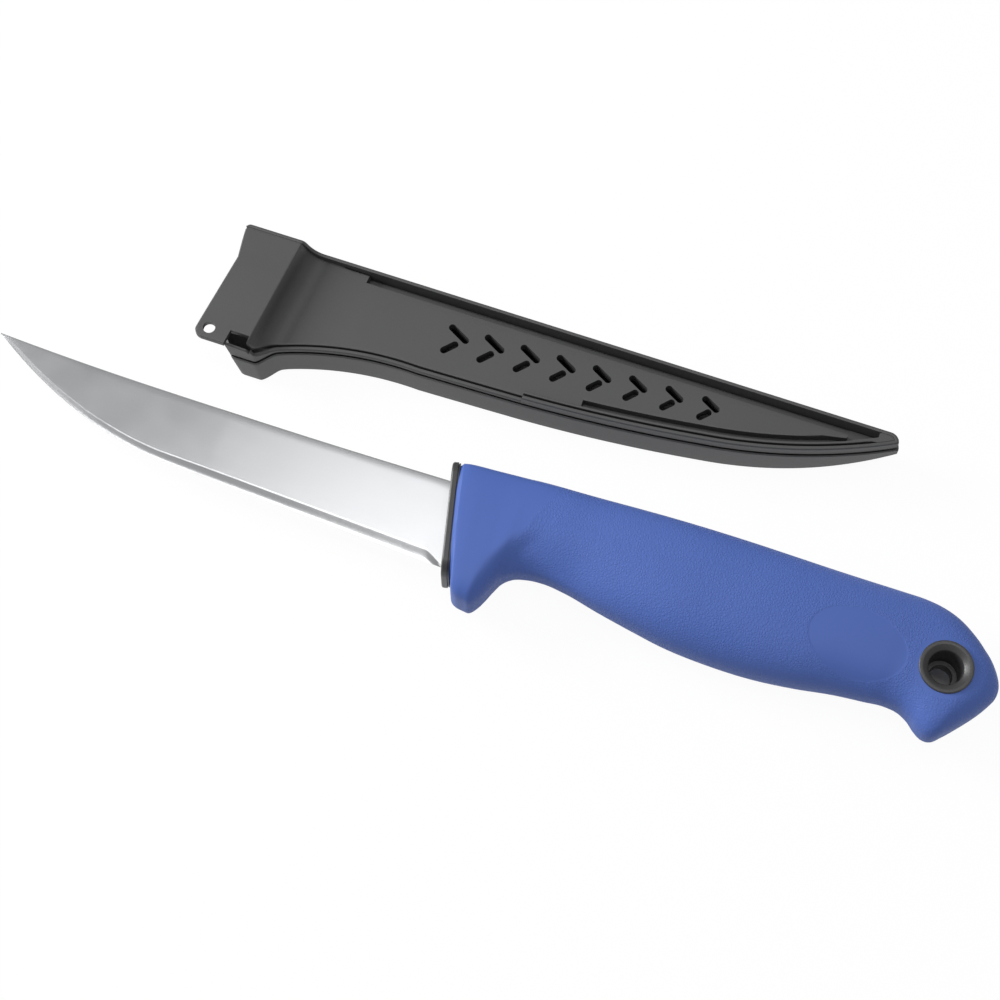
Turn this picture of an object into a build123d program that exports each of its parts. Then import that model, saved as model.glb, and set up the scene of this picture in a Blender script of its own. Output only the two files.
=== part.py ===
from build123d import *
from math import atan2, cos, degrees, radians, sin, tan
import os

# Fillet knife lying on its side, with its moulded sheath beside it.
# Millimetres, +Z up. The knife points along -X, its spine faces +Y, and both things lie on z = 0.
# The origin is at the bottom centre of the whole set.

# Blade sizes. Places along the knife are measured from the blade's tip.
blade_length = 125.0  # tip to the handle's front face, on the knife's axis
belly_length = 56.0  # the curved stretch of the edge behind the tip
belly_depth = 18.0  # axis to edge where the curve ends
heel_depth = 19.9  # axis to edge at the handle
spine_rise = 2.1  # how far the spine stands above the axis at the handle
spine_drop = 0.5  # how far the spine dips below the axis behind the tip
spine_dip_share = 0.33  # share of the blade over which the spine dips
blade_thickness = 2.0
blade_tip_thickness = 0.5
taper_share = 0.5  # share of the blade over which it thickens from the tip
edge_thickness = 0.2
bevel_width = 3.4  # at the heel
bevel_tip_width = 1.3
plunge_length = 5.0  # where the bevel runs out into the edge at the heel
belly_power = 1.9
belly_shares = (0.002, 0.03, 0.07, 0.12, 0.19, 0.28, 0.38, 0.49, 0.61, 0.74, 0.87, 1)
straight_shares = (0.3, 0.65, 1)
tang_length = 84.0
tang_hole_radius = 3.0
tang_hole_inset = 15.0  # from the tang's end

# Handle sizes
handle_length = 143.0  # axis point on the front face to the end of the butt
handle_height = 41.8  # lowest point of the finger guard to the highest point of the back
handle_thickness = 21.0
front_slant = 15.2  # degrees that the handle's front leans back on the guard side
section_round_share = 0.86  # corner radius of a cross-section over its half thickness
collar_thickness = 2.0
collar_height = 30.6
collar_width = 15.2
collar_corner = 4.2
collar_centre = -9.0  # from the knife's axis
groove_width = 0.4
groove_depth = 0.4
grip_skin = 3.0  # thickness of the soft grip over the hard core
tang_cover = 0.8  # core between the tang and the grip at the finger recess

# Lanyard eyelet through the butt
eyelet_from_butt = 14.2
eyelet_offset = -3.2
eyelet_radius = 6.7
eyelet_bore_radius = 4.0
eyelet_web_radius = 2.8
eyelet_web = 3.0
eyelet_bevel = 0.9
eyelet_half_share = 0.381  # the grip's half thickness there, over the handle's thickness
eyelet_proud = 0.25

guard_share = 0.662  # axis to the guard's lowest point over the handle's height

# Handle stations: place along the handle as shares of its length, then the top and the
# bottom as shares of its height, then the half thickness as a share of the thickness.
handle_shares = [
    (-0.060, 0.145, -0.431, 0.395),
    (0.020, 0.182, -0.550, 0.405),
    (0.062, 0.198, -0.584, 0.410),
    (0.074, 0.201, -0.629, 0.410),
    (0.086, 0.205, -0.657, 0.410),
    (0.100, 0.209, -0.662, 0.410),
    (0.112, 0.212, -0.645, 0.411),
    (0.121, 0.215, -0.588, 0.412),
    (0.130, 0.217, -0.511, 0.413),
    (0.138, 0.220, -0.444, 0.414),
    (0.153, 0.225, -0.388, 0.416),
    (0.175, 0.233, -0.359, 0.419),
    (0.206, 0.241, -0.343, 0.425),
    (0.245, 0.253, -0.357, 0.434),
    (0.315, 0.270, -0.399, 0.460),
    (0.385, 0.286, -0.439, 0.486),
    (0.440, 0.296, -0.467, 0.500),
    (0.520, 0.305, -0.479, 0.500),
    (0.600, 0.309, -0.468, 0.500),
    (0.670, 0.312, -0.436, 0.487),
    (0.740, 0.320, -0.390, 0.458),
    (0.800, 0.329, -0.366, 0.420),
    (0.835, 0.331, -0.352, 0.394),
    (0.856, 0.324, -0.368, 0.384),
    (0.874, 0.311, -0.401, 0.382),
    (0.890, 0.295, -0.447, 0.380),
    (0.904, 0.277, -0.469, 0.379),
    (0.918, 0.250, -0.467, 0.378),
    (0.932, 0.218, -0.419, 0.376),
    (0.951, 0.169, -0.347, 0.350),
    (0.972, 0.108, -0.253, 0.290),
    (0.988, 0.039, -0.175, 0.216),
    (1.000, -0.021, -0.097, 0.120),
]
core_recess_share = 0.339  # axis to the core's bottom at the finger recess, over the handle's height
core_shares = [
    (-0.060, 0.134, -0.483, 0.395),
    (0.020, 0.176, -0.535, 0.405),
    (0.080, 0.191, -0.484, 0.410),
    (0.160, 0.223, -core_recess_share, 0.418),
    (0.300, 0.261, -0.376, 0.450),
    (0.440, 0.289, -0.446, 0.490),
    (0.600, 0.297, -0.449, 0.490),
    (0.800, 0.320, -0.354, 0.420),
    (1.000, 0.300, -0.330, 0.375),
]

# Sheath sizes, in the sheath's own plan: x from the foot of the collar's ramp towards the tip,
# y = 0 along its straight edge, and its curved edge on the -y side.
sheath_length = 152.6
sheath_height = 13.0
sheath_width = 23.2  # straight edge to curved edge at the middle
mouth_reach = 23.8  # how far the collar reaches behind x = 0
mouth_flare = 1.0  # how far the mouth's corner at the straight edge stands out past that
mouth_flare_width = 10.3
collar_block_length = 14.7
collar_block_height = 17.0
collar_block_width = 34.9
collar_slant = 5.0  # degrees that the mouth and the ramp lean
collar_flare = 3.6
ramp_run = 6.0
ramp_hollow_share = 0.32
tip_corner = 3.2
shell_floor = 1.8
shell_wall = 1.8
shell_step = 0.2  # the front shell stands in from the frame by this much
shell_bottom_round = 1.4
lip_edge = 0.9  # outline to the inner face of the shell's lip
lip_height = 2.8
seam_height = 9.4
frame_wall = 1.5
frame_ledge = 1.3  # how far the ledge reaches in past the frame's wall
frame_ledge_height = 1.6
plate_gap = 0.2
slab_thickness = 1.6
panel_height = 11.2
plate_rim = 1.3  # raised rim of the plate beside the curved edge
moat_width = 1.8
moat_floor = 1.4
far_moat_start = 9.0
near_rim_start = 58.0
near_moat_start = 73.0
panel_tip_gap = 13.1  # from the panel's point to the sheath's tip
moat_tip_gap = 5.8  # from the end of the moat to the sheath's tip
ear_length = 3.7  # the mouth's setback from x = 0 to the window
window_length = 7.2
window_edge = 31.3  # straight edge to the near side of the belt plate beside the window
near_wall_setback = 5.2  # the wall stops short of the mouth to leave room for the guard
corner_cut_start = 27.0  # straight edge to the start of the shell's cut corner
corner_cut_length = 8.8
ear_round = 2.4
mouth_corner_round = 1.2
ear_hole_radius = 1.6
ear_hole_setback = 0.4
ear_hole_inset = 3.0

# Points of the curved edge, tip to collar, as shares of the sheath's length and width
sheath_edge_shares = [
    (0.849, 0.565),
    (0.684, 0.810),
    (0.533, 0.930),
    (0.375, 1.000),
    (0.197, 1.035),
    (0.053, 1.115),
    (-0.043, 1.320),
]

# Drain slots in the sheath's back plate, a row of arrowheads of two arms each
drain_count = 8
drain_start = 34.4
drain_tip_gap = 50.3  # from the last arrowhead to the sheath's tip
drain_width = 1.9
drain_inset = 12.2  # straight edge to the middle of the first arrowhead
drain_drift = 0.43  # how far each next arrowhead lies nearer the straight edge
drain_length = 4.4
drain_spread = 3.4
drain_gap = 1.0
drain_shrink_share = 0.035  # how much smaller each next arrowhead is

# Where the sheath lies beside the knife
sheath_along = 74.4  # blade tip to the sheath's origin, along the knife
sheath_aside = 50.4  # knife's axis to the sheath's straight edge
sheath_turn = 1.4  # degrees
cut_overrun = 12.0

# Places worked out from the sizes
half_thick = handle_thickness / 2
knife_length = blade_length + handle_length
far_corner = sheath_length - tip_corner
far_reach = sheath_aside + far_corner * sin(radians(sheath_turn))
tip_x = -knife_length / 2
axis_y = (guard_share * handle_height - far_reach) / 2
slant_run = tan(radians(front_slant))
plate_edge = frame_wall + plate_gap
rim_edge = plate_edge + plate_rim
moat_edge = rim_edge + moat_width
ledge_edge = frame_wall + frame_ledge
lip_bottom = seam_height - lip_height
plate_bottom = lip_bottom + frame_ledge_height
moat_level = plate_bottom + moat_floor
slab_bottom = collar_block_height - slab_thickness
ramp_top = collar_block_length - mouth_reach
window_start = ear_length - mouth_reach
window_end = window_start + window_length
near_wall_start = near_wall_setback - mouth_reach
corner_cut_end = corner_cut_length - mouth_reach
ear_hole_x = ear_hole_setback - mouth_reach
moat_end = sheath_length - moat_tip_gap
panel_end = sheath_length - panel_tip_gap
drain_pitch = (sheath_length - drain_start - drain_tip_gap) / (drain_count - 1)
core_end_gap = eyelet_from_butt + eyelet_radius / 2
tang_width = core_recess_share * handle_height - grip_skin - tang_cover
open_end = -mouth_reach - 2 * cut_overrun
open_side = -collar_block_width - cut_overrun
open_top = collar_block_height + cut_overrun


def knife_plan(height=0.0):
    """Plane of the knife seen from above, at a height over its middle plane."""
    return Plane(origin=(tip_x, axis_y, half_thick + height), x_dir=(1, 0, 0), z_dir=(0, 0, 1))


def knife_section(along):
    """Plane across the knife at a distance from the tip, its x along +Y and its y along +Z."""
    return Plane(origin=(tip_x + along, axis_y, half_thick), x_dir=(0, 1, 0), z_dir=(1, 0, 0))


def knife_front(setback=0.0):
    """Plane of the handle's slanted front face, moved back by a setback, facing the butt."""
    lean = radians(front_slant)
    return Plane(
        origin=(tip_x + blade_length + setback / cos(lean), axis_y, half_thick),
        x_dir=(-sin(lean), cos(lean), 0),
        z_dir=(cos(lean), sin(lean), 0),
    )


def sheath_plan(height=0.0):
    """Plane of the sheath seen from above, at a height over the surface that it lies on."""
    turn = radians(sheath_turn)
    return Plane(
        origin=(tip_x + sheath_along, axis_y + sheath_aside, height),
        x_dir=(cos(turn), sin(turn), 0),
        z_dir=(0, 0, 1),
    )


def sheath_side(along):
    """Upright plane through the straight edge, square to the slanted mouth, facing -Y."""
    turn = radians(sheath_turn)
    lean = radians(sheath_turn - collar_slant)
    return Plane(
        origin=(
            tip_x + sheath_along + along * cos(turn),
            axis_y + sheath_aside + along * sin(turn),
            0,
        ),
        x_dir=(cos(lean), sin(lean), 0),
        z_dir=(sin(lean), -cos(lean), 0),
    )


# Blade: flat, with an edge bevel ground on both faces and a stick tang inside the handle

def edge_at(along):
    """Depth of the cutting edge below the axis: a power curve, then a straight run."""
    if along < belly_length:
        return belly_depth * (1 - (1 - along / belly_length) ** belly_power)
    return belly_depth + (heel_depth - belly_depth) * (along - belly_length) / (heel_end - belly_length)


def spine_at(along):
    """Height of the spine over the axis: a shallow dip behind the tip, then a rise."""
    share = along / blade_length
    dip = 1 - (1 - min(share / spine_dip_share, 1)) ** 2
    return (spine_rise + spine_drop) * share**2 - spine_drop * dip


heel_end = blade_length + heel_depth * slant_run
straight_run = heel_end - plunge_length - belly_length
blade_stations = [belly_length * share for share in belly_shares]
blade_stations += [belly_length + straight_run * share for share in straight_shares]
with BuildPart() as blade:
    for station in blade_stations + [heel_end, heel_end + collar_thickness]:
        share = station / heel_end
        bevel = bevel_tip_width + (bevel_width - bevel_tip_width) * share
        thickening = (blade_thickness - blade_tip_thickness) * min(share / taper_share, 1)
        half = (blade_tip_thickness + thickening) / 2
        depth = edge_at(station)
        spine = spine_at(station)
        land = min(bevel, (depth + spine) / 2)
        edge_half = edge_thickness / 2
        if station >= heel_end:
            land = edge_thickness
            edge_half = half
        with BuildSketch(knife_section(station)):
            with BuildLine():
                Polyline(
                    (spine, half),
                    (land - depth, half),
                    (-depth, edge_half),
                    (-depth, -edge_half),
                    (land - depth, -half),
                    (spine, -half),
                    close=True,
                )
            make_face()
    loft(ruled=True)
    split(bisect_by=knife_front(), keep=Keep.BOTTOM)
    with BuildSketch(knife_plan(-blade_thickness / 2)):
        with Locations((blade_length - collar_thickness, 0)):
            Rectangle(
                tang_length + 2 * collar_thickness,
                tang_width,
                align=(Align.MIN, Align.MAX),
            )
        with Locations((blade_length + tang_length - tang_hole_inset, -tang_width / 2)):
            Circle(tang_hole_radius, mode=Mode.SUBTRACT)
    extrude(amount=blade_thickness)


# Handle: black collar at the front, hard core, soft grip and the lanyard eyelet

def handle_body(shares, skin, end_gap):
    """Loft of rounded rectangles through a table of handle stations, drawn in by a skin."""
    with BuildPart() as body:
        for along, top, bottom, half in shares:
            high = top * handle_height - skin
            low = bottom * handle_height + skin
            half_section = half * handle_thickness - skin
            corner = section_round_share * min(half_section, (high - low) / 2)
            with BuildSketch(knife_section(blade_length + along * (handle_length - end_gap))):
                with Locations(((high + low) / 2, 0)):
                    RectangleRounded(high - low, 2 * half_section, corner)
        loft(ruled=True)
        split(bisect_by=knife_front(collar_thickness), keep=Keep.TOP)
    return body.part


eyelet_x = knife_length - eyelet_from_butt
eyelet_half = eyelet_half_share * handle_thickness + eyelet_proud
with BuildPart() as front_collar:
    with BuildSketch(knife_front()):
        with Locations((collar_centre, 0)):
            RectangleRounded(collar_height, collar_width, collar_corner)
    extrude(amount=collar_thickness)
    with BuildSketch(knife_front((collar_thickness - groove_width) / 2)):
        with Locations((collar_centre, 0)):
            RectangleRounded(collar_height, collar_width, collar_corner)
            RectangleRounded(
                collar_height - 2 * groove_depth,
                collar_width - 2 * groove_depth,
                collar_corner - groove_depth,
                mode=Mode.SUBTRACT,
            )
    extrude(amount=groove_width, mode=Mode.SUBTRACT)
    add(blade.part, mode=Mode.SUBTRACT)

with BuildPart() as eyelet_bush:
    with BuildSketch(knife_plan(-eyelet_half)):
        with Locations((eyelet_x, eyelet_offset)):
            Circle(eyelet_radius)
            Circle(eyelet_web_radius, mode=Mode.SUBTRACT)
    extrude(amount=2 * eyelet_half)
    for level in (-eyelet_half, eyelet_web / 2):
        with BuildSketch(knife_plan(level)):
            with Locations((eyelet_x, eyelet_offset)):
                Circle(eyelet_bore_radius)
        extrude(amount=eyelet_half - eyelet_web / 2, mode=Mode.SUBTRACT)
    mouths = eyelet_bush.edges().filter_by(GeomType.CIRCLE).filter_by(
        lambda edge: abs(edge.radius - eyelet_bore_radius) < eyelet_bevel / 2
    )
    chamfer(mouths.group_by(Axis.Z)[0] + mouths.group_by(Axis.Z)[-1], eyelet_bevel)

core_body = handle_body(core_shares, grip_skin, core_end_gap)
with BuildPart() as handle_core:
    add(core_body)
    with BuildSketch(knife_plan(-half_thick)):
        with Locations((eyelet_x, eyelet_offset)):
            Circle(eyelet_radius)
    extrude(amount=2 * half_thick, mode=Mode.SUBTRACT)
    add(blade.part, mode=Mode.SUBTRACT)

with BuildPart() as grip:
    add(handle_body(handle_shares, 0, 0))
    add(core_body, mode=Mode.SUBTRACT)
    with BuildSketch(knife_plan(-half_thick)):
        with Locations((eyelet_x, eyelet_offset)):
            Circle(eyelet_radius)
    extrude(amount=2 * half_thick, mode=Mode.SUBTRACT)


# Sheath: front shell below, frame between, back plate on top

def sheath_outline(height, inset, hollow=0):
    """Plan outline of the sheath at a height, drawn in by an inset; a hollow leaves a band."""
    edge = [(x * sheath_length, -y * sheath_width) for x, y in sheath_edge_shares]
    tip_centre = (sheath_length - tip_corner, -tip_corner)
    with BuildSketch(sheath_plan(height)) as outline:
        with BuildLine():
            Line((open_end, 0), (sheath_length - tip_corner, 0))
            CenterArc(tip_centre, tip_corner, 90, -90)
            ThreePointArc((sheath_length, -tip_corner), edge[0], edge[1])
            ThreePointArc(edge[1], edge[2], edge[3])
            Line(edge[3], edge[4])
            ThreePointArc(edge[4], edge[5], edge[6])
            Polyline(
                edge[6],
                (edge[6][0] - collar_flare, -collar_block_width),
                (open_end, -collar_block_width),
                (open_end, 0),
            )
        whole = make_face().face()
        if inset:
            offset(whole, amount=-inset, mode=Mode.REPLACE)
        if hollow:
            offset(whole, amount=-hollow, mode=Mode.SUBTRACT)
    return outline.sketch


def sheath_patch(height, start, end, low, high):
    """Rectangle in the sheath's plan at a height, between two x and two y limits."""
    with BuildSketch(sheath_plan(height)) as patch:
        with Locations(((start + end) / 2, (low + high) / 2)):
            Rectangle(end - start, high - low)
    return patch.sketch


def ramp_space(foot_height):
    """Everything over the collar's ramp and over the level face that the ramp runs down to."""
    rise = collar_block_height - foot_height
    middle = (ramp_hollow_share * ramp_run, foot_height + ramp_hollow_share * rise)
    with BuildPart() as space:
        with BuildSketch(sheath_side(ramp_top)):
            with BuildLine():
                ThreePointArc((0, collar_block_height), middle, (ramp_run, foot_height))
                Polyline(
                    (ramp_run, foot_height),
                    (sheath_length + mouth_reach, foot_height),
                    (sheath_length + mouth_reach, open_top),
                    (0, open_top),
                    (0, collar_block_height),
                )
            make_face()
        extrude(amount=collar_block_width + cut_overrun, both=True)
    return space.part


def drain_slots(height):
    """Row of arrowheads, each of two round-ended arms, smaller towards the tip."""
    with BuildSketch(sheath_plan(height)) as slots:
        for number in range(drain_count):
            size = 1 - drain_shrink_share * number
            x = drain_start + drain_pitch * number
            y = drain_drift * number - drain_inset
            spread, gap, reach = size * drain_spread, size * drain_gap, size * drain_length
            far_arm = (Vector(x, y + spread), Vector(x + reach, y + gap))
            near_arm = (Vector(x, y - spread), Vector(x + reach / 2, y - gap))
            for tail, head in (far_arm, near_arm):
                run = head - tail
                with Locations((tail + head) / 2):
                    SlotCenterToCenter(run.length, drain_width, rotation=degrees(atan2(run.Y, run.X)))
    return slots.sketch


# Spaces that the sheath's pieces leave free, cut out of them below
high_space = ramp_space(sheath_height)
low_space = ramp_space(panel_height)

with BuildPart() as mouth_space:
    mouth_lean = tan(radians(collar_slant))
    with BuildSketch(sheath_plan()):
        with BuildLine():
            Polyline(
                (open_end, cut_overrun),
                (-mouth_reach - mouth_flare, cut_overrun),
                (-mouth_reach - mouth_flare, 0),
                (-mouth_reach - mouth_flare_width * mouth_lean, -mouth_flare_width),
                (-mouth_reach + open_side * mouth_lean, open_side),
                (open_end, open_side),
                close=True,
            )
        make_face()
    extrude(amount=open_top)

with BuildPart() as near_space:
    extrude(sheath_patch(0, open_end, near_rim_start, open_side, -sheath_width / 2), amount=open_top)
    add(low_space, mode=Mode.INTERSECT)

with BuildPart() as panel_space:
    extrude(sheath_outline(0, rim_edge), amount=open_top)
    extrude(sheath_patch(0, open_end, near_rim_start, open_side, 0), amount=open_top)
    extrude(sheath_patch(0, open_end, moat_end, -frame_wall - moat_width, 0), amount=open_top)
    add(low_space, mode=Mode.INTERSECT)

with BuildPart() as near_moat:
    extrude(sheath_outline(moat_level, rim_edge, moat_edge), amount=open_top)
    extrude(
        sheath_patch(moat_level, near_moat_start, moat_end, open_side, -moat_edge),
        amount=open_top,
        mode=Mode.INTERSECT,
    )

with BuildPart() as tip_moat:
    extrude(sheath_outline(moat_level, rim_edge), amount=open_top)
    extrude(
        sheath_patch(moat_level, panel_end, moat_end, open_side, 0),
        amount=open_top,
        mode=Mode.INTERSECT,
    )

with BuildPart() as slab_hollow:
    with BuildSketch(sheath_side(ramp_top)):
        with BuildLine():
            Polyline(
                (open_end, 0),
                (open_end, slab_bottom),
                (-slab_thickness / 2, slab_bottom),
                (ramp_run - slab_thickness, plate_bottom + plate_gap),
                (ramp_run - slab_thickness, 0),
                close=True,
            )
        make_face()
    extrude(amount=collar_block_width + cut_overrun, both=True)

with BuildPart() as sheath_front_shell:
    extrude(sheath_outline(0, shell_step), amount=seam_height)
    chamfer(sheath_front_shell.faces().sort_by(Axis.Z)[0].edges(), shell_bottom_round)
    extrude(sheath_outline(shell_floor, shell_wall), amount=seam_height, mode=Mode.SUBTRACT)
    extrude(sheath_outline(lip_bottom, lip_edge), amount=seam_height, mode=Mode.SUBTRACT)
    with BuildSketch(sheath_plan()):
        with BuildLine():
            Polyline(
                (open_end, -corner_cut_start),
                (-mouth_reach, -corner_cut_start),
                (corner_cut_end, -collar_block_width),
                (corner_cut_end, open_side),
                (open_end, open_side),
                close=True,
            )
        make_face()
    extrude(amount=seam_height, mode=Mode.SUBTRACT)
    add(mouth_space.part, mode=Mode.SUBTRACT)

with BuildPart() as slab_ledge:
    extrude(
        sheath_outline(slab_bottom - frame_ledge_height, frame_wall, ledge_edge),
        amount=frame_ledge_height,
    )
    add(slab_hollow.part, mode=Mode.INTERSECT)

with BuildPart() as sheath_frame:
    for bottom, top, outer, inner in (
        (seam_height, collar_block_height, 0, frame_wall),
        (plate_bottom, seam_height, lip_edge, frame_wall),
        (lip_bottom, plate_bottom, lip_edge, ledge_edge),
    ):
        extrude(sheath_outline(bottom, outer, inner), amount=top - bottom)
    add(slab_ledge.part)
    window_side = frame_wall - collar_block_width
    extrude(
        sheath_patch(plate_bottom, window_start, window_end, window_side, -window_edge),
        amount=open_top,
        mode=Mode.SUBTRACT,
    )
    extrude(
        sheath_patch(0, open_end, near_wall_start, open_side, -window_edge),
        amount=open_top,
        mode=Mode.SUBTRACT,
    )
    add(high_space, mode=Mode.SUBTRACT)
    add(near_space.part, mode=Mode.SUBTRACT)
    add(mouth_space.part, mode=Mode.SUBTRACT)

with BuildPart() as sheath_back_plate:
    extrude(sheath_outline(plate_bottom, plate_edge), amount=collar_block_height - plate_bottom)
    extrude(
        sheath_patch(slab_bottom, open_end, window_start, -collar_block_width, -window_edge),
        amount=slab_thickness,
    )
    extrude(
        sheath_patch(0, window_start, window_end, open_side, -window_edge),
        amount=open_top,
        mode=Mode.SUBTRACT,
    )
    for space in (high_space, panel_space.part, near_moat.part, tip_moat.part, slab_hollow.part):
        add(space, mode=Mode.SUBTRACT)
    extrude(
        sheath_patch(moat_level, far_moat_start, moat_end, -frame_wall - moat_width, 0),
        amount=open_top,
        mode=Mode.SUBTRACT,
    )
    extrude(drain_slots(plate_bottom), amount=open_top, mode=Mode.SUBTRACT)
    with BuildSketch(sheath_plan(slab_bottom)):
        with Locations((ear_hole_x, ear_hole_inset - collar_block_width)):
            Circle(ear_hole_radius)
    extrude(amount=slab_thickness, mode=Mode.SUBTRACT)
    add(mouth_space.part, mode=Mode.SUBTRACT)
    # the three upright edges of the mouth: its two corners and the foot of its flare
    mouth_edges = sheath_back_plate.edges().filter_by(Axis.Z).sort_by(Axis.X)[:3].sort_by(Axis.Y)
    fillet(mouth_edges[0], ear_round)
    fillet(mouth_edges[-1], mouth_corner_round)

pieces = {
    "blade": blade,
    "front_collar": front_collar,
    "eyelet_bush": eyelet_bush,
    "handle_core": handle_core,
    "grip": grip,
    "sheath_front_shell": sheath_front_shell,
    "sheath_frame": sheath_frame,
    "sheath_back_plate": sheath_back_plate,
}
os.makedirs("parts", exist_ok=True)
for name, piece in pieces.items():
    piece.part.label = name
    export_step(piece.part, f"parts/{name}.step")
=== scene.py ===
import math

import bmesh
import bpy
import numpy as np
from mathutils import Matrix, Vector


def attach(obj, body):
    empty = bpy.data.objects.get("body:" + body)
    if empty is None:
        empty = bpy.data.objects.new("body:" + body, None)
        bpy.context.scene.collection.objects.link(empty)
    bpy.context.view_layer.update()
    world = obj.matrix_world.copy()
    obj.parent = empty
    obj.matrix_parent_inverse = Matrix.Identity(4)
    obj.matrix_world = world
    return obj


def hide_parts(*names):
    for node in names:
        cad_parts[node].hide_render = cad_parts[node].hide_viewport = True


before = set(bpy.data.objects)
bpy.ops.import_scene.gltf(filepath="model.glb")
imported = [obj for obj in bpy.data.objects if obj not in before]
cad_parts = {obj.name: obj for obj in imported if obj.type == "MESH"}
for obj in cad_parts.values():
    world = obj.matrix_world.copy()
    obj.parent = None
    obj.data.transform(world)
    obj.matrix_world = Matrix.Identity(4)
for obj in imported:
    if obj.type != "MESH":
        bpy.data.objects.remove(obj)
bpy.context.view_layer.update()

# Blade. A narrow upswept fillet blade of stainless sheet, satin ground along its length, with a
# hollow-ground bevel on both faces that runs out at the heel. Its stick tang sits in the handle.
MM = 0.001
BLADE_TIP = np.array([-134.0, -13.189, 10.5])  # millimetres, in the knife's middle plane
BLADE_LENGTH = 125.0
BELLY_LENGTH, BELLY_DEPTH, BELLY_POWER = 56.0, 18.0, 1.9
HEEL_DEPTH = 19.9
FRONT_SLANT = math.radians(15.2)
HEEL_END = BLADE_LENGTH + HEEL_DEPTH * math.tan(FRONT_SLANT)
PLUNGE_LENGTH, PLUNGE_POWER = 5.0, 1.15  # where the bevel runs out in front of the heel
TIP_THICKNESS, THICKNESS = 0.5, 2.0  # at the tip, and from half way to the handle
FACE_TAPER = 0.22  # share of the thickness lost from spine to bevel
SPINE_RISE, SPINE_DIP = 2.6, 0.5
SPINE_ROUND = 0.35
BEVEL_WIDTH, BEVEL_GROWTH = 1.3, 2.1  # at the tip, and what it gains up to the heel
EDGE_HALF = 0.06
HOLLOW_START, HOLLOW_POWER = 0.2, 1.35  # how soon and how fast the bevel thins
LEAN_START = 70.0  # from here on the sections lean more and more with the handle's front


def closed_skin(name, rings, capped=True, loop=True, origin=BLADE_TIP, weld=0.002):
    """Closed surface through rings of points: ring i is joined to ring i + 1 by a band of four-sided
    faces, and a loop's last point to its first. Capped ends take one face each; otherwise the last
    ring is joined to the first. Rings are in millimetres from the origin, and points nearer than
    the weld are merged."""
    count, around = rings.shape[:2]
    index = np.arange(count * around).reshape(count, around)
    ahead, beside = np.roll(index, -1, axis=0), np.roll(index, -1, axis=1)
    bands = np.stack([index, beside, np.roll(ahead, -1, axis=1), ahead], axis=-1)
    bands = bands[:-1] if capped else bands
    bands = bands if loop else bands[:, :-1]
    faces = bands.reshape(-1, 4).tolist()
    if capped:
        faces += [index[0][::-1].tolist(), index[-1].tolist()]
    mesh = bpy.data.meshes.new(name)
    mesh.from_pydata(((rings.reshape(-1, 3) + origin) * MM).tolist(), [], faces)
    shape = bmesh.new()
    shape.from_mesh(mesh)
    bmesh.ops.remove_doubles(shape, verts=shape.verts, dist=weld * MM)
    bmesh.ops.recalc_face_normals(shape, faces=shape.faces)
    if shape.calc_volume(signed=True) < 0:
        bmesh.ops.reverse_faces(shape, faces=shape.faces)
    shape.to_mesh(mesh)
    shape.free()
    piece = bpy.data.objects.new(name, mesh)
    bpy.context.scene.collection.objects.link(piece)
    return piece


def smooth(piece, crease):
    """Smooth shading that breaks at edges sharper than the crease, in degrees."""
    piece.data.shade_smooth()
    piece.data.set_sharp_from_angle(angle=math.radians(crease))


def edge_depth(x):
    """Depth of the cutting edge: a power curve to the end of the belly, then a straight run."""
    belly = BELLY_DEPTH * (1 - np.clip(1 - x / BELLY_LENGTH, 0, 1) ** BELLY_POWER)
    run = (HEEL_DEPTH - BELLY_DEPTH) * (x - BELLY_LENGTH) / (HEEL_END - BELLY_LENGTH)
    return belly + np.maximum(run, 0)


def spine_rise(x):
    """Height of the spine: a square rise to the handle, less a dip that is full a third along."""
    share = x / BLADE_LENGTH
    return SPINE_RISE * share**2 - SPINE_DIP * (1 - (1 - np.minimum(3 * share, 1)) ** 2)


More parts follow.
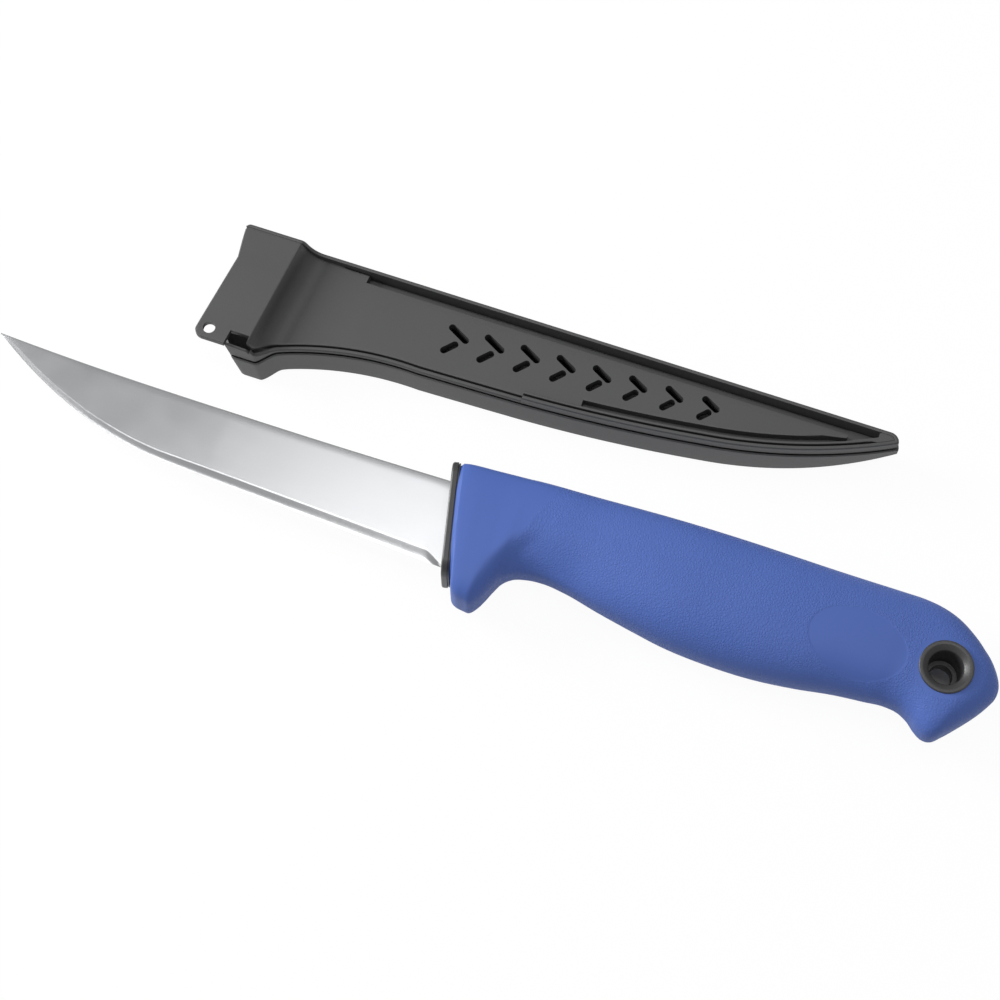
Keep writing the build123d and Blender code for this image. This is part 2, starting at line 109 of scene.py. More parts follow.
def blade_rings():
    """Cross-sections from tip to heel. Each runs down one face from the rounded spine to the bevel,
    down the bevel, whose thickness falls along a hyperbola and then straight to the edge, and up
    the other face."""
    plunge_start = HEEL_END - PLUNGE_LENGTH
    x = np.concatenate([BELLY_LENGTH * np.linspace(0.0085, 1, 90) ** 1.3,
                        np.linspace(BELLY_LENGTH + 0.5, plunge_start, 60),
                        np.linspace(plunge_start + 0.25, HEEL_END, 20)])[:, None]
    share = x / HEEL_END
    half = (TIP_THICKNESS + (THICKNESS - TIP_THICKNESS) * np.minimum(2 * share, 1)) / 2
    depth, spine = edge_depth(x), spine_rise(x)
    plunge = np.clip((x - plunge_start) / PLUNGE_LENGTH, 0, 1)
    bevel = np.minimum(BEVEL_WIDTH + BEVEL_GROWTH * share, (depth + spine) / 2)
    bevel = bevel * (1 - plunge) ** PLUNGE_POWER + 0.02
    edge_half, bevel_half = np.minimum(EDGE_HALF, half / 3), half * (1 - FACE_TAPER)
    bend = np.linspace(0, 1, 5)[None, :]
    crown = np.minimum(SPINE_ROUND, half * 0.6)
    spine_y = spine - crown * (1 - np.sin(bend * math.pi / 2))
    spine_z = half - crown * (1 - np.cos(bend * math.pi / 2))
    face = np.linspace(0, 1, 9)[None, 1:]
    face_y = spine_y[:, :1] * (1 - face) + (bevel - depth) * face
    way = np.array([[0.04, 0.08, 0.12, 0.17, 0.23, 0.31, 0.42, 0.55, 0.7, 0.85, 1.0]])
    fall = np.hypot(way, HOLLOW_START) - HOLLOW_START
    fall /= math.hypot(1, HOLLOW_START) - HOLLOW_START
    bevel_y = (bevel - depth) * (1 - way) - depth * way
    bevel_z = edge_half + (bevel_half - edge_half) * (1 - fall) ** HOLLOW_POWER
    y = np.concatenate([spine_y[:, ::-1], face_y, bevel_y], axis=1)
    z = np.concatenate([spine_z[:, ::-1], half * (1 - FACE_TAPER * face**2), bevel_z], axis=1)
    y, z = np.concatenate([y, y[:, ::-1]], axis=1), np.concatenate([z, -z[:, ::-1]], axis=1)
    lean = np.clip((x - LEAN_START) / (BLADE_LENGTH - LEAN_START), 0, 1)
    slanted = x - lean * (y + HEEL_DEPTH) * math.tan(FRONT_SLANT)
    return np.stack([slanted + 0.3 * lean, y, z], axis=-1)


class Field:
    """A number or colour that varies over a surface: a socket, on which sums add Math nodes."""

    def __init__(self, finish, socket):
        self.finish, self.socket = finish, socket

    def math(self, operation, *others):
        """A Math node of that operation on this value and others."""
        return self.finish.node("ShaderNodeMath", {"operation": operation}, self, *others)

    def __add__(self, other):
        return self.math("ADD", other)

    def __sub__(self, other):
        return self.math("SUBTRACT", other)

    def __rsub__(self, other):
        return self.finish.node("ShaderNodeMath", {"operation": "SUBTRACT"}, other, self)

    def __mul__(self, other):
        return self.math("MULTIPLY", other)

    def __truediv__(self, other):
        return self.math("DIVIDE", other)

    __radd__, __rmul__ = __add__, __mul__

    def step(self, low, high):
        """0 below low, 1 above high, and a soft S curve between."""
        curve = {"interpolation_type": "SMOOTHSTEP"}
        return self.finish.node("ShaderNodeMapRange", curve, self, low, high)


class Finish:
    """A material under construction, with its Principled shader."""

    def __init__(self, name, colour, roughness, **constants):
        self.material = bpy.data.materials.new(name)
        self.material.use_nodes = True
        self.tree = self.material.node_tree
        self.shader = self.tree.nodes["Principled BSDF"]
        self.set("Base Color", (*colour, 1.0))
        self.set("Roughness", roughness)
        for key, value in constants.items():
            self.set(key.replace("_", " "), value)

    def set(self, key, value):
        """Gives one of the shader's inputs a number, a colour or a Field."""
        if isinstance(value, Field):
            self.tree.links.new(value.socket, self.shader.inputs[key])
        else:
            self.shader.inputs[key].default_value = value

    def node(self, kind, settings, *values, **named):
        """Adds a node of that kind, settings first, and returns its first live output as a Field."""
        node = self.tree.nodes.new(kind)
        stops = settings.pop("stops", None)
        output = settings.pop("output", None)
        for key, value in settings.items():
            setattr(node, key, value)
        if stops:
            while len(node.color_ramp.elements) < len(stops):
                node.color_ramp.elements.new(0.5)
            for element, (place, colour) in zip(node.color_ramp.elements, stops):
                element.position, element.color = place, (*colour, 1.0)
        live = [s for s in node.inputs if s.enabled]
        pairs = [(node.inputs[key.replace("_", " ")], value) for key, value in named.items()]
        for socket, value in [*zip(live, values), *pairs]:
            if isinstance(value, Field):
                self.tree.links.new(value.socket, socket)
            else:
                socket.default_value = value
        outputs = [s for s in node.outputs if s.enabled]
        return Field(self, node.outputs[output] if output else outputs[0])

    def place(self, origin, turn=0.0):
        """Object coordinates in millimetres from an origin, also in millimetres, along turned axes."""
        shift = [-(origin[0] * math.cos(turn) + origin[1] * math.sin(turn)),
                 origin[0] * math.sin(turn) - origin[1] * math.cos(turn), -origin[2]]
        where = self.node("ShaderNodeTexCoord", {"output": "Object"})
        return self.node("ShaderNodeMapping", {}, Vector=where, Location=shift, Rotation=(0, 0, -turn),
                         Scale=(1 / MM, 1 / MM, 1 / MM))

    def axes(self, where):
        """The two numbers of a place in the plane that all pieces lie in."""
        return [self.node("ShaderNodeSeparateXYZ", {"output": axis}, where) for axis in "XY"]

    def noise(self, where, scale, detail=2.0, stretch=(1, 1, 1)):
        """Cloudy noise of about 0 to 1, with a scale per millimetre, finer along stretched axes."""
        spread = self.node("ShaderNodeMapping", {}, Vector=where, Scale=stretch)
        return self.node("ShaderNodeTexNoise", {}, Vector=spread, Scale=scale, Detail=detail)

    def ramp(self, low, high, amount):
        """Colour between two colours, by an amount of 0 to 1."""
        return self.node("ShaderNodeValToRGB", {"stops": [(0.0, low), (1.0, high)]}, amount)

    def relief(self, height, depth):
        """Surface relief from a height of 0 to 1 and its depth in millimetres."""
        bump = self.node("ShaderNodeBump", {}, Height=height, Distance=depth * MM, Strength=1.0)
        self.set("Normal", bump)


blade = closed_skin("blade_ground", blade_rings())
smooth(blade, 14)
steel = Finish("satin_steel", (0.72, 0.73, 0.74), 0.34, Metallic=1.0)
place = steel.place(BLADE_TIP)
grinding = steel.noise(place, 1.6, 2.0, (0.04, 1, 1))
smears = steel.noise(place, 0.09, 2.0)
steel.set("Roughness", 0.22 + grinding * 0.012 + smears * 0.06)
shade = grinding * 0.5 + smears * 0.5
steel.set("Base Color", steel.ramp((0.68, 0.69, 0.71), (0.76, 0.77, 0.78), shade))
blade.data.materials.append(steel.material)
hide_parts("blade")
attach(blade, "knife")

# Tang of the blade. The same sheet, left rough from blanking, with the hole that the handle's
# core fills when it is moulded round it. Hidden in the finished knife.
TANG_LENGTH, TANG_WIDTH, TANG_HALF, TANG_START = 84.0, 10.37, 1.0, 2.5
TANG_HOLE, TANG_HOLE_INSET = 3.0, 15.0


def tang_rings():
    """A plate with a hole as one ring-shaped skin: rays from the hole's centre meet the hole's
    circle and the plate's outline, and each ray carries both points at the top and the bottom."""
    centre = np.array([BLADE_LENGTH + TANG_LENGTH - TANG_HOLE_INSET, -TANG_WIDTH / 2])
    left, right = BLADE_LENGTH + TANG_START - centre[0], TANG_HOLE_INSET
    corners = [math.atan2(s * TANG_WIDTH / 2, x) for x in (left, right) for s in (-1, 1)]
    angle = np.unique(np.concatenate([np.linspace(-math.pi, math.pi, 49)[:-1], corners]))
    ray = np.stack([np.cos(angle), np.sin(angle)], axis=-1)
    tiny = 1e-9
    reach_x = np.where(ray[:, 0] > 0, right, left) / np.where(abs(ray[:, 0]) < tiny, tiny, ray[:, 0])
    reach_y = TANG_WIDTH / 2 / np.maximum(abs(ray[:, 1]), tiny)
    outer = centre + ray * np.minimum(abs(reach_x), reach_y)[:, None]
    inner = centre + ray * TANG_HOLE
    rings = [np.insert(p, 2, z, axis=1) for p, z in
             ((inner, TANG_HALF), (outer, TANG_HALF), (outer, -TANG_HALF), (inner, -TANG_HALF))]
    return np.stack(rings, axis=1)


tang = closed_skin("blade_tang", tang_rings(), capped=False)
smooth(tang, 30)
tang.data.materials.append(steel.material)
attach(tang, "knife")

# Front collar. Black hard plastic that closes the handle round the blade, with a shallow groove
# between it and the grip. The end of the same moulding as the core.
COLLAR_HEIGHT, COLLAR_WIDTH, COLLAR_CORNER = 30.6, 15.2, 4.2
COLLAR_CENTRE = -9.0
COLLAR_DEPTH, COLLAR_ROUND = 2.0, 0.6
GROOVE_INSET = 0.4


def collar_rings():
    """A rounded rectangle drawn in by the profile's inset and set back by its depth: front face
    from the middle outwards, rounded front edge, side, groove, back face to the middle."""
    bend = np.linspace(0, math.pi / 2, 6)
    middle = COLLAR_WIDTH / 2
    inset = np.concatenate([[middle, 4.0], COLLAR_ROUND - COLLAR_ROUND * np.sin(bend),
                            [0, 0.05, GROOVE_INSET, GROOVE_INSET, 0.2, 0.2, 4.0, middle]])
    depth = np.concatenate([[0, 0], COLLAR_ROUND - COLLAR_ROUND * np.cos(bend),
                            [1.5, 1.55, 1.6, 1.76, 1.8, COLLAR_DEPTH, COLLAR_DEPTH, COLLAR_DEPTH]])
    angle = np.linspace(0, 2 * math.pi, 97)[:-1] + math.pi / 96
    inset, depth, angle = inset[:, None], depth[:, None], angle[None, :]
    corner = np.maximum(COLLAR_CORNER - inset, 0.02)
    tall = np.maximum(COLLAR_HEIGHT / 2 - inset - corner, 0)
    wide = np.maximum(COLLAR_WIDTH / 2 - inset - corner, 0)
    up = np.sign(np.cos(angle)) * tall + corner * np.cos(angle) + COLLAR_CENTRE
    out = np.sign(np.sin(angle)) * wide + corner * np.sin(angle)
    x = BLADE_LENGTH + depth * math.cos(FRONT_SLANT) - up * math.sin(FRONT_SLANT)
    y = depth * math.sin(FRONT_SLANT) + up * math.cos(FRONT_SLANT)
    return np.stack([x, y, out + 0 * y], axis=-1)


collar = closed_skin("front_collar_ring", collar_rings())
smooth(collar, 30)
black = Finish("black_moulding", (0.035, 0.035, 0.037), 0.42, Specular_IOR_Level=0.8)
place = black.place(BLADE_TIP)
stipple = black.noise(place, 3.0, 3.0)
black.set("Roughness", 0.34 + stipple * 0.18)
black.set("Base Color", black.ramp((0.028, 0.028, 0.03), (0.045, 0.045, 0.047), stipple))
black.relief(stipple, 0.02)
collar.data.materials.append(black.material)
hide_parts("front_collar")
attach(collar, "knife")

# Core of the handle. Hard black plastic moulded round the tang, hidden under the grip, as it
# comes from the CAD, with the bare dull skin of such a moulding.
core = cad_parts["handle_core"]
bare = Finish("core_moulding", (0.02, 0.02, 0.022), 0.6)
flow = bare.noise(bare.place(BLADE_TIP), 0.3, 3.0, (0.2, 1, 1))
bare.set("Roughness", 0.5 + flow * 0.25)
bare.set("Base Color", bare.ramp((0.016, 0.016, 0.018), (0.03, 0.03, 0.032), flow))
core.data.materials.clear()
core.data.materials.append(bare.material)

# Grip. Blue soft plastic moulded over the core: smooth at the front, a scooped finger recess
# behind the guard, fine leather grain over the hold, and a beaked butt. An oval stays bare.
# Each rib: top x and y, bottom x and y, half thickness, and how square the section is.
GRIP_RIBS = np.array([
    (126.2, 6.6, 133.9, -22.9, 8.35, 4.6), (128.0, 6.95, 134.9, -25.9, 8.5, 5.0),
    (130.6, 7.3, 136.4, -27.0, 8.6, 4.8), (133.4, 7.6, 138.6, -27.4, 8.6, 4.6),
    (136.2, 7.95, 140.3, -27.5, 8.6, 4.3), (138.8, 8.3, 141.7, -26.0, 8.6, 4.0),
    (141.2, 8.6, 142.8, -23.8, 8.65, 3.7), (143.4, 8.9, 143.9, -20.9, 8.7, 3.4),
    (145.4, 9.2, 145.2, -18.1, 8.7, 3.2), (147.8, 9.5, 147.3, -16.1, 8.75, 3.0),
    (151.0, 9.8, 150.6, -14.9, 8.8, 2.85), (155.0, 10.1, 155.0, -14.4, 8.95, 2.7),
    (160.5, 10.6, 160.5, -14.9, 9.1, 2.5), (170.0, 11.3, 170.0, -16.7, 9.65, 2.5),
    (180.0, 11.95, 180.0, -18.35, 10.2, 2.5), (188.0, 12.35, 188.0, -19.5, 10.45, 2.5),
    (199.0, 12.75, 199.0, -20.0, 10.47, 2.5), (211.0, 12.95, 211.0, -19.55, 10.47, 2.5),
    (221.0, 13.1, 221.0, -18.2, 10.2, 2.5), (231.0, 13.4, 231.0, -16.3, 9.6, 2.5),
    (239.0, 13.7, 238.6, -15.35, 8.9, 2.55), (244.5, 13.8, 243.2, -14.8, 8.35, 2.65),
    (248.5, 13.35, 246.8, -15.15, 8.1, 2.8), (252.0, 12.45, 249.6, -16.5, 8.0, 2.9),
    (255.0, 11.2, 252.0, -18.5, 7.95, 2.9), (257.5, 9.7, 254.2, -19.6, 7.9, 2.9),
    (259.8, 8.1, 256.3, -19.4, 7.85, 2.8), (261.8, 6.4, 258.6, -17.2, 7.6, 2.7),
    (263.6, 4.9, 261.2, -14.2, 7.1, 2.5), (265.1, 3.3, 263.6, -11.2, 6.3, 2.3),
    (266.4, 1.6, 265.4, -8.7, 5.1, 2.1), (267.3, 0.0, 266.8, -6.3, 3.6, 2.0),
    (267.8, -1.5, 267.7, -4.4, 1.9, 2.0), (267.95, -2.9, 267.95, -3.0, 0.1, 2.0),
])
FRONT_ROUND = 1.0
SCOOP_DEPTH = 1.3
SCOOP_BORDER = np.array([(139.8, -28), (140.3, -25), (141.9, -16.3), (145.0, -9.7), (148.0, -5),
                         (152.0, 0)])
EYELET = np.array([268.0 - 14.2, -3.2])
EYELET_RADIUS, EYELET_SEAT = 6.7, 6.2  # the bush's rim, and the hole under it
BARE_OVAL = (232.0, -5.2, 12.5, 8.6)  # centre and half sizes, left without grain
GRAIN_START, GRAIN_LEAN = (141.0, -25.0), 0.3  # a point of the line behind which the grain lies


def through(rows, count):
    """Cubic curve through rows of numbers, each joined to the next by a Hermite span whose slopes
    are the differences of its neighbours, with the run of both outlines together as its parameter."""
    step = np.diff(rows, axis=0)
    run = np.linalg.norm(step[:, :2], axis=1) + np.linalg.norm(step[:, 2:4], axis=1)
    at = np.concatenate([[0], np.cumsum(run)])
    slope = np.gradient(rows, at, axis=0)
    want = np.linspace(0, at[-1], count)
    span = np.clip(np.searchsorted(at, want, side="right") - 1, 0, len(at) - 2)
    wide = (at[span + 1] - at[span])[:, None]
    t = (want - at[span])[:, None] / wide
    return ((1 + 2 * t) * (1 - t) ** 2 * rows[span] + t * (1 - t) ** 2 * wide * slope[span]
            + t**2 * (3 - 2 * t) * rows[span + 1] - t**2 * (1 - t) * wide * slope[span + 1])


def ease(value, low, high):
    """0 below low, 1 above high, and an S curve between."""
    t = np.clip((value - low) / (high - low), 0, 1)
    return t * t * (3 - 2 * t)


def grip_rings():
    """Each ring is a superellipse: its long axis runs from the bottom outline to the top one, its
    short axis is the thickness. The front closes over a rounded edge, and the scoop takes its
    depth off both sides behind its border and fades towards the middle of the grip."""
    ribs = through(GRIP_RIBS, 420)
    bend = np.linspace(0, 1, 7)[:-1]
    setback = FRONT_ROUND * (1 - np.sin(bend * math.pi / 2))
    inset = FRONT_ROUND * (1 - np.cos((1 - bend) * math.pi / 2))
    front = np.repeat(ribs[:1], 8, axis=0)
    drawn = np.concatenate([[6.5, 3.0], inset])
    front[:, 0:4] += np.array([0, -1, 0, 1])[None, :] * drawn[:, None]
    front[:, 4] -= drawn
    lean = np.array([math.cos(FRONT_SLANT), math.sin(FRONT_SLANT)])
    back = np.concatenate([[FRONT_ROUND, FRONT_ROUND], setback])
    front[:, 0:2] -= back[:, None] * lean
    front[:, 2:4] -= back[:, None] * lean
    ribs = np.concatenate([front, ribs])
    angle = (np.linspace(0, 2 * math.pi, 145)[:-1])[None, :]
    power = 2 / ribs[:, 5:6]
    along = np.sign(np.cos(angle)) * abs(np.cos(angle)) ** power
    out = np.sign(np.sin(angle)) * abs(np.sin(angle)) ** power
    x = (ribs[:, 0:1] + ribs[:, 2:3]) / 2 + (ribs[:, 0:1] - ribs[:, 2:3]) / 2 * along
    y = (ribs[:, 1:2] + ribs[:, 3:4]) / 2 + (ribs[:, 1:2] - ribs[:, 3:4]) / 2 * along
    border = np.interp(y, SCOOP_BORDER[:, 1], SCOOP_BORDER[:, 0])
    scoop = ease(x - border, -1.5, 4.5) * (1 - ease(x, 152, 188)) * ease(-y, 2.5, 12.0)
    dent = SCOOP_DEPTH * scoop * ease(abs(out), 0.15, 0.75)
    z = np.sign(out) * (ribs[:, 4:5] * abs(out) - dent)
    return np.stack([x, y, z], axis=-1)


def carve(piece, cutters):
    """Takes closed pieces out of a piece, one after the other, and removes them."""
    for cutter in cutters:
        cut = piece.modifiers.new("cut", "BOOLEAN")
        cut.object, cut.operation, cut.solver = cutter, "DIFFERENCE", "MANIFOLD"
        bpy.context.view_layer.update()
        graph = bpy.context.evaluated_depsgraph_get()
        mesh = bpy.data.meshes.new_from_object(piece.evaluated_get(graph))
        piece.modifiers.clear()
        piece.data = mesh
        bpy.data.objects.remove(cutter)
    mesh.materials.clear()
    mesh.polygons.foreach_set("material_index", np.zeros(len(mesh.polygons), dtype=np.int32))


grip = closed_skin("grip_overmould", grip_rings())
around = np.linspace(0, 2 * math.pi, 73)[:-1]
circle = EYELET + EYELET_SEAT * np.stack([np.cos(around), np.sin(around)], axis=-1)
plug = np.stack([np.insert(circle, 2, z, axis=1) for z in (-9.5, 9.5)])
carve(grip, [closed_skin("eyelet_hole", plug)])
smooth(grip, 60)
rubber = Finish("blue_soft_plastic", (0.095, 0.168, 0.515), 0.5, Specular_IOR_Level=0.2)
place = rubber.place(BLADE_TIP)
x, y = rubber.axes(place)
hold = (x - GRAIN_START[0] - (y - GRAIN_START[1]) * GRAIN_LEAN).step(-0.6, 0.6)
oval = (((x - BARE_OVAL[0]) / BARE_OVAL[2]).math("POWER", 2.0)
        + ((y - BARE_OVAL[1]) / BARE_OVAL[3]).math("POWER", 2.0))
outside_oval = oval.step(0.92, 1.04)
ring = ((x - EYELET[0]).math("POWER", 2.0) + (y - EYELET[1]).math("POWER", 2.0)).math("SQRT")
away = ring.step(EYELET_RADIUS + 0.6, EYELET_RADIUS + 1.6)
grained = hold * outside_oval * away
grain = rubber.node("ShaderNodeTexVoronoi", {"feature": "DISTANCE_TO_EDGE"}, Vector=place, Scale=1.4)
fine = rubber.noise(place, 2.6, 3.0)
skin = grain.step(0.0, 0.28) * 0.7 + fine * 0.3
cloud = rubber.noise(place, 0.05, 2.0)
shade = cloud * 0.7 + skin * grained * 0.3
rubber.set("Base Color", rubber.ramp((0.085, 0.156, 0.495), (0.105, 0.18, 0.535), shade))
rubber.set("Roughness", 0.42 + grained * 0.04 + fine * 0.08)
rubber.relief(skin * grained * 0.4 + outside_oval * 0.2 + fine * 0.06, 0.18)
grip.data.materials.append(rubber.material)
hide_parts("grip")
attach(grip, "knife")

# Lanyard eyelet. Black bush through the butt for a wrist cord: a flat rim, a bevelled mouth and
# a wide bore that steps down to a web half way through. Pressed in from the side.
EYELET_HALF, RIM_ROUND = 8.25, 0.35
WEB_BORE, WEB_HALF, WEB_DROP = 2.8, 1.5, 1.6  # the web lies a little below the middle
WIDE_BORE = 4.0


def eyelet_rings():
    """A profile of radius and height turned about the eyelet's axis: web, wide bore, bevelled mouth
    and rounded rim, the same below, with the web's own points moved down."""
    edge = np.linspace(math.pi / 2, 0, 5)
    rim_radius = EYELET_RADIUS - RIM_ROUND + RIM_ROUND * np.cos(edge)
    rim_height = EYELET_HALF - RIM_ROUND + RIM_ROUND * np.sin(edge)
    radius = np.concatenate([[WEB_BORE, WEB_BORE + 0.15], WIDE_BORE + np.array([0, 0.25, 0.25]),
                             [4.4, 4.6, 5.6, 5.75], rim_radius])
    height = np.concatenate([[WEB_HALF - 0.15, WEB_HALF], [WEB_HALF, WEB_HALF + 0.3, 7.1],
                             [7.35, 7.5, 8.2, EYELET_HALF], rim_height])
    radius = np.concatenate([radius, radius[::-1]])[:, None]
    height = np.concatenate([height, -height[::-1]])[:, None]
    height = height - WEB_DROP * (radius < WIDE_BORE + 0.05) * (abs(height) < 2)
    angle = np.linspace(0, 2 * math.pi, 97)[:-1][None, :]
    x, y = EYELET[0] + radius * np.cos(angle), EYELET[1] + radius * np.sin(angle)
    return np.stack([x, y, height + 0 * angle], axis=-1)


eyelet = closed_skin("eyelet_bush_ring", eyelet_rings(), capped=False)
smooth(eyelet, 35)
eyelet.data.materials.append(black.material)
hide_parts("eyelet_bush")
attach(eyelet, "knife")

# Sheath, front shell. A tray of dark grey plastic that lies on the table: a flat floor, side walls
# that run from the open mouth round the tip and back, and a lip that the frame stands in.
SHEATH_ORIGIN = np.array([-59.6, 37.211, 0.0])  # where the straight edge meets the ramp's foot
SHEATH_TURN = math.radians(1.4)
SHEATH_TIP, TIP_CORNER = 152.6, 3.2
EDGE_BAND = 1.7  # insets run square to the outline this far, and then towards the middle line
TIP_MEET = np.array([150.55, -2.25])  # where the band's inner lines of both sides meet
TIP_FAN_X, TIP_FAN_Y = 151.25, -1.14  # the corner's stations beyond these point at that place
FAN_START = 143.4  # from here to the tip all stations end at one place
MOUTH_X, MOUTH_LEAN, MOUTH_FLARE = -23.8, math.tan(math.radians(5)), 1.5
LEAN_FADE = (8.0, 30.0)
COLLAR_SIDE = 34.9
COLLAR_TOP = 17.0
RAMP_TOP_X, RAMP_RUN = -9.1, 6.0
SEAM = 9.4  # height of the joint between the shell and the frame
FULL_INSET, SAFE_SHARE = 5.2, 0.93  # shares count from here; no inset takes more of the way
END_LEAN = 0.22
SHELL_ROUND, SEAM_ROUND = 0.8, 0.34
SHELL_WALL, LIP_INSET, LIP_FOOT = 1.8, 0.9, 6.6
KEEL_START, KEEL_RISE = 100.0, 7.0


def arc(start, middle, end, count):
    """Points on the circle through three points, without the last one. The centre is the place
    that is equally far from all three."""
    (ax, ay), (bx, by), (cx, cy) = start, middle, end
    a, b, c = ax**2 + ay**2, bx**2 + by**2, cx**2 + cy**2
    d = 2 * (ax * (by - cy) + bx * (cy - ay) + cx * (ay - by))
    ux = (a * (by - cy) + b * (cy - ay) + c * (ay - by)) / d
    uy = (a * (cx - bx) + b * (ax - cx) + c * (bx - ax)) / d
    first, last = math.atan2(ay - uy, ax - ux), math.atan2(cy - uy, cx - ux)
    angle = np.linspace(first, last, count, endpoint=False)
    radius = math.hypot(ax - ux, ay - uy)
    return np.stack([ux + radius * np.cos(angle), uy + radius * np.sin(angle)], axis=-1)


CURVED_SIDE = np.concatenate([
    [(-27.0, -COLLAR_SIDE), (-11.6, -COLLAR_SIDE), (-10.9, -34.75), (-10.2, -34.2)],
    [(-8.2, -31.9), (-7.2, -31.0), (-6.2, -30.4)],
    arc((-6.6, -30.6), (8.1, -25.9), (30.1, -24.0), 30)[2:],
    arc((30.1, -24.0), (43.6, -23.62), (57.2, -23.2), 10),
    arc((57.2, -23.2), (81.3, -21.6), (104.4, -18.8), 30),
    arc((104.4, -18.8), (129.6, -13.1), (SHEATH_TIP, -TIP_CORNER), 40), [(SHEATH_TIP, -TIP_CORNER)]])


def spread(start, end, step):
    """Evenly spaced places from start to end, about a step apart."""
    return np.linspace(start, end, max(2, round((end - start) / step) + 1))


def sheath_lines(side, steps):
    """Ring stations round the sheath, from the mouth along the curved side, round the tip and back
    along the straight side. Gives each station's place on the outline, its inward direction and
    its end on the middle line. Behind the ramp the stations lean with the mouth; each step in the
    sheath's form gets two stations close together."""
    along = np.concatenate([MOUTH_X + np.array([0, 0.06, 0.15, 0.3, 0.5, 0.8, 1.2, 1.7, 2.4]),
                            spread(-20.8, -11.5, 0.7), spread(-11.1, -2.3, 0.4),
                            spread(-1.5, 143, 1.5)])
    along = np.array(sorted([a for a in along if min(abs(a - s) for s in steps) > 0.3]
                            + [s - 0.1 for s in steps] + [s + 0.1 for s in steps]))
    leaning = MOUTH_LEAN * (1 - ease(along, *LEAN_FADE))
    near_x = along - 30 * leaning
    for _ in range(12):
        near_x = along + leaning * np.interp(near_x, side[:, 0], side[:, 1])
    near = np.stack([near_x, np.interp(near_x, side[:, 0], side[:, 1])], axis=-1)
    at_mouth = 1 - ease(along, MOUTH_X, MOUTH_X + 4)
    far = np.stack([along - MOUTH_FLARE * at_mouth, 0 * along], axis=-1)
    bend = np.linspace(0, math.pi / 2, 9)
    nose_x = spread(143.8, 152.0, 0.6)
    nose = np.stack([nose_x, np.interp(nose_x, side[:, 0], side[:, 1])], axis=-1)
    corner = TIP_CORNER * np.stack([np.cos(bend) - 1, np.sin(bend) - 1], axis=-1) + [SHEATH_TIP, 0]
    back_x = spread(143.8, 149.0, 0.6)[::-1]
    back = np.stack([back_x, 0 * back_x], axis=-1)
    outline = np.concatenate([near, nose, corner, back, far[::-1]])
    part = 0.3 + 0.2 * ease(along, -8, 20)
    middle = np.stack([along + (near[:, 0] - along) * part, near[:, 1] * part], axis=-1)
    middle[:, 0] += 0.6 * at_mouth
    fan = len(nose) + len(corner) + len(back)
    ends = np.concatenate([middle, np.repeat(middle[-1:], fan, axis=0), middle[::-1]])
    run = np.diff(outline, axis=0)
    run /= np.linalg.norm(run, axis=1)[:, None]
    turned = np.stack([-run[:, 1], run[:, 0]], axis=-1)
    first, last = np.concatenate([turned[:1], turned]), np.concatenate([turned, turned[-1:]])
    inward = first + last
    inward /= (inward * last).sum(axis=1)[:, None]
    join = (outline[:, 0] > TIP_FAN_X) & (outline[:, 1] < TIP_FAN_Y)
    inward[join] = (TIP_MEET - outline[join]) / EDGE_BAND
    return outline, inward, ends


def sheath_points(lines, inset, height):
    """Rings from insets and heights, one row per station. An inset runs square to the outline for
    the edge band and then towards the ring's end; a negative one counts as a share of what is left
    from the full inset to the middle line. No inset passes the middle line, and in the tip's fan
    none crosses another."""
    outline, inward, ends = lines
    square = EDGE_BAND * (outline[:, :1] > FAN_START)
    gap = ends - outline - inward * square
    reach = np.linalg.norm(gap, axis=1)[:, None]
    across = (gap / reach)[:, None, :]
    reach = reach + square
    deep = np.where(inset < 0, FULL_INSET, inset)
    deep = np.minimum(deep, SAFE_SHARE * reach)[:, :, None]
    place = outline[:, None, :] + inward[:, None, :] * np.minimum(deep, EDGE_BAND)
    place = place + across * np.maximum(deep - EDGE_BAND, 0)
    place = place + (ends[:, None, :] - place) * np.maximum(-inset, 0)[:, :, None]
    return np.concatenate([place, (height + 0 * inset)[:, :, None]], axis=-1)


def lean_end(rings):
    """Leans the free end of the near wall beside the ear: its points move towards the tip by a
    share of their depth below the collar's top, which fades along the wall and away from it."""
    along = rings[..., 0]
    share = (1 - 0.62 * ease(along, -19.0, -10.0)) * (1 - ease(along, -10.0, -3.0))
    share = share * ease(-rings[..., 1], 26.0, 32.0)
    rings[..., 0] += END_LEAN * (COLLAR_TOP - rings[..., 2]) * share
    return rings


def sheath_skin(name, rings, loop):
    """Closed piece of the sheath from rings of points in its own plan. Rings that aren't loops of
    their own run from the middle line out and back to it, and meet the other side's rings there."""
    sine, cosine = math.sin(SHEATH_TURN), math.cos(SHEATH_TURN)
    points = rings.copy()
    points[:, :, :2] = rings[:, :, :2] @ np.array([[cosine, sine], [-sine, cosine]])
    return closed_skin(name, points, loop=loop, origin=SHEATH_ORIGIN, weld=0.004)


def finish_sheath(piece, node):
    """Smooth shading that keeps flat faces flat, the moulding's material and the piece's place."""
    smooth(piece, 33)
    piece.modifiers.new("flat_faces", "WEIGHTED_NORMAL").keep_sharp = True
    piece.data.materials.append(moulding.material)
    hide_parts(node)
    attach(piece, "sheath")


moulding = Finish("dark_grey_moulding", (0.05, 0.05, 0.051), 0.5, Specular_IOR_Level=0.8)
place = moulding.place(SHEATH_ORIGIN, SHEATH_TURN)
tooling = moulding.noise(place, 2.2, 3.0)
flow = moulding.noise(place, 0.06, 3.0, (0.5, 1, 1))
shade = flow * 0.7 + tooling * 0.3
moulding.set("Base Color", moulding.ramp((0.054, 0.054, 0.055), (0.071, 0.071, 0.072), shade))
moulding.set("Roughness", 0.44 + tooling * 0.1 + flow * 0.08)
moulding.relief(tooling, 0.02)


